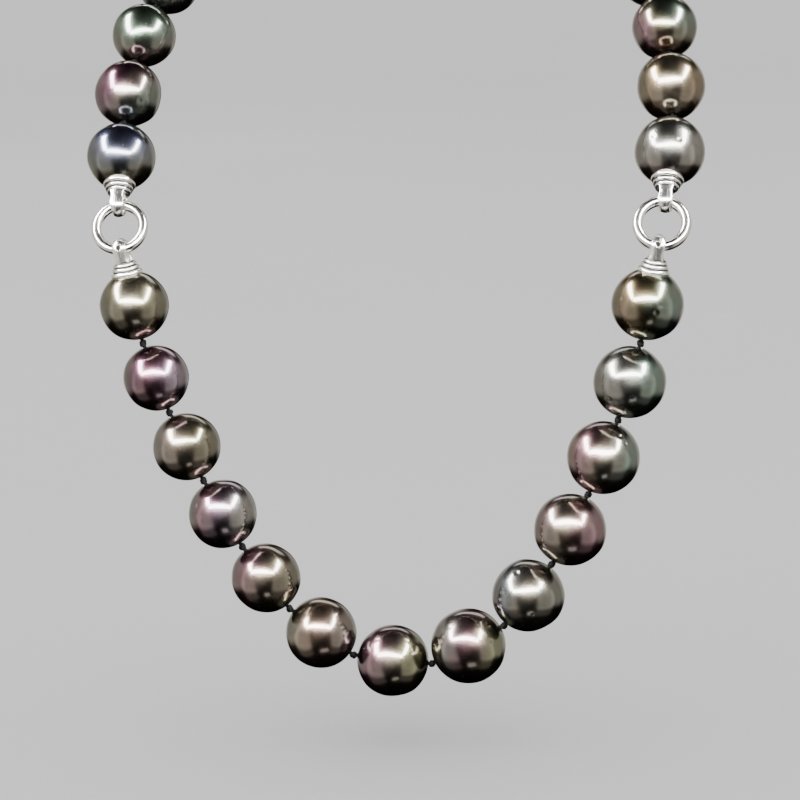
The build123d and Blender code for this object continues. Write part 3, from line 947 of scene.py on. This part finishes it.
# ---------------------------------------------------------------- stage, light and camera
FLOOR_DROP = 8 * MM
FLOOR_RADIUS = 1.3
FLOOR_INSET = 0.6
COVE_RADIUS = 0.7  # of the curve from the floor up to the wall
WALL_HEIGHT = 0.2
floor_height = cad_box[0].z - FLOOR_DROP
bpy.ops.mesh.primitive_circle_add(
    vertices=128, radius=FLOOR_RADIUS, fill_type="NGON", location=(0, 0, floor_height)
)
bowl = bpy.context.object
settle(bowl)
edit(bowl, "FACE", faces=lambda centre, normal: True)
bpy.ops.mesh.inset(thickness=FLOOR_INSET)
done()
edit(bowl, "EDGE", edges=lambda a, b: min(math.hypot(a.x, a.y), math.hypot(b.x, b.y)) > 0.95 * FLOOR_RADIUS)
radius, height = FLOOR_RADIUS, floor_height
for degrees in range(10, 91, 10):
    angle = math.radians(degrees)
    next_radius = FLOOR_RADIUS + COVE_RADIUS * math.sin(angle)
    next_height = floor_height + COVE_RADIUS * (1 - math.cos(angle))
    bpy.ops.mesh.extrude_edges_move(TRANSFORM_OT_translate={"value": (0, 0, next_height - height)})
    share = next_radius / radius
    bpy.ops.transform.resize(value=(share, share, 1), center_override=(0, 0, 0))
    radius, height = next_radius, next_height
bpy.ops.mesh.extrude_edges_move(TRANSFORM_OT_translate={"value": (0, 0, WALL_HEIGHT)})
done()
smooth(bowl, 60.0)
bowl.name = "pale_floor"
bowl.visible_glossy = False
floor_paint, floor_here, floor_finish = new_material("pale_floor")
floor_grain = floor_here.out("ShaderNodeTexNoise", Vector=floor_here, Scale=6.0, Detail=2.0)
floor_finish(
    Base_Color=floor_grain.mixed((0.49, 0.485, 0.48, 1.0), (0.515, 0.51, 0.505, 1.0)),
    Roughness=0.9,
    Specular_IOR_Level=0.1,
)
bowl.data.materials.append(floor_paint)

world = bpy.data.worlds.new("studio")
bpy.context.scene.world = world
world.use_nodes = True
sky = world.node_tree.nodes["Background"]
sky.inputs["Color"].default_value = (0.97, 0.98, 1.0, 1.0)
sky.inputs["Strength"].default_value = 2.2
world.cycles_visibility.glossy = False

HEART = Vector((0, -0.06, -0.09))  # the lamps face this point, in the middle of the drape
NEARLY_WHITE = (1.0, 0.98, 0.95)
WARM = (1.0, 0.94, 0.84)
STRIP_RADIANCE = 65.0
PANEL_FADE = 0.25  # share of a soft panel's width that fades, at each edge


def lamp_between(start, end, depth, radiance, colour=NEARLY_WHITE):
    """A rectangular lamp that runs from one point to another and faces the necklace."""
    start, end = Vector(start), Vector(end)
    long_way = (end - start).normalized()
    to_heart = HEART - (start + end) / 2
    facing = (to_heart - long_way * to_heart.dot(long_way)).normalized()
    turn = Matrix((long_way, long_way.cross(facing), -facing)).transposed()
    bpy.ops.object.light_add(type="AREA", location=(start + end) / 2, rotation=turn.to_euler())
    lamp = bpy.context.object
    lamp.data.shape = "RECTANGLE"
    lamp.data.size = (end - start).length
    lamp.data.size_y = depth
    lamp.data.energy = radiance * math.pi * lamp.data.size * depth
    lamp.data.color = colour
    lamp.visible_camera = False
    lamp.visible_diffuse = False  # the stage is lit by the sky alone, so it stays even
    return lamp


def soft_panel(*measures):
    """A lamp with lamp_between's measures whose light fades out towards all four edges."""
    lamp = lamp_between(*measures)
    lamp.data.use_nodes = True
    tree = lamp.data.node_tree
    geometry = tree.nodes.new("ShaderNodeNewGeometry")
    parametric = Wire(tree, geometry.outputs["Parametric"])
    parts = parametric.node("ShaderNodeSeparateXYZ", _0=parametric)
    fade = 1.0
    for axis in ("X", "Y"):
        place = Wire(tree, parts.outputs[axis])
        fade = place.between(0.0, PANEL_FADE) * place.between(1.0, 1.0 - PANEL_FADE) * fade
    glow = fade.mixed((0.0, 0.0, 0.0, 1.0), (1.0, 1.0, 1.0, 1.0))
    tree.links.new(glow.socket, tree.nodes["Emission"].inputs["Color"])


# strip lamps overhead: a bar across the front, with an arm that runs back from each of its ends
lamp_between((-0.36, -0.40, 0.12), (0.36, -0.40, 0.12), 0.09, STRIP_RADIANCE)
lamp_between((-0.36, -0.36, 0.14), (-0.33, 0.04, 0.32), 0.10, STRIP_RADIANCE)
lamp_between((0.36, -0.36, 0.14), (0.33, 0.04, 0.32), 0.08, STRIP_RADIANCE)
# soft panels at both sides
soft_panel((-1.00, -0.66, -0.05), (-0.75, 0.95, -0.05), 1.3, 0.75, WARM)
soft_panel((1.02, -0.50, -0.05), (0.75, 0.95, -0.05), 1.3, 0.70, WARM)
# between the sides and the front, and lower down there
soft_panel((-0.98, -0.08, -0.20), (-0.30, -0.92, -0.20), 1.15, 0.85, WARM)
soft_panel((1.02, 0.04, -0.20), (0.50, -0.86, -0.20), 1.15, 0.80, WARM)
soft_panel((-0.95, -0.05, -0.75), (-0.26, -0.82, -0.75), 0.8, 0.22, WARM)
soft_panel((0.95, 0.00, -0.75), (0.42, -0.70, -0.75), 0.8, 0.20, WARM)
# above the camera, and a small one below it
soft_panel((-0.55, -0.80, 0.25), (0.65, -0.80, 0.25), 0.35, 2.2, WARM)
soft_panel((0.01, -0.40, -0.50), (0.21, -0.40, -0.50), 0.16, 1.3)
# behind the necklace: one overhead and one at each side
soft_panel((-0.40, 0.52, 0.36), (0.40, 0.52, 0.36), 0.22, 3.0)
soft_panel((-0.85, 0.70, -0.08), (-0.05, 1.05, -0.08), 1.0, 0.9, WARM)
soft_panel((0.85, 0.70, -0.08), (0.05, 1.05, -0.08), 1.0, 0.9, WARM)

AIM = Vector((1.6, -65.0, -87.2)) * MM
CAMERA_AZIMUTH = math.radians(7.5)
CAMERA_ELEVATION = math.radians(11.0)
CAMERA_ROLL = math.radians(-1.4)
CAMERA_DISTANCE = 0.45
CAMERA_LENS = 126.0
back = Vector((
    math.sin(CAMERA_AZIMUTH) * math.cos(CAMERA_ELEVATION),
    -math.cos(CAMERA_AZIMUTH) * math.cos(CAMERA_ELEVATION),
    math.sin(CAMERA_ELEVATION),
))
bpy.ops.object.camera_add(location=AIM + back * CAMERA_DISTANCE)
camera = bpy.context.object
camera.rotation_mode = "QUATERNION"
camera.rotation_quaternion = (-back).to_track_quat("-Z", "Y") @ Quaternion((0, 0, 1), CAMERA_ROLL)
camera.data.sensor_width = 36.0
camera.data.lens = CAMERA_LENS
camera.data.clip_start = 0.01
camera.data.clip_end = 20.0
bpy.context.scene.camera = camera
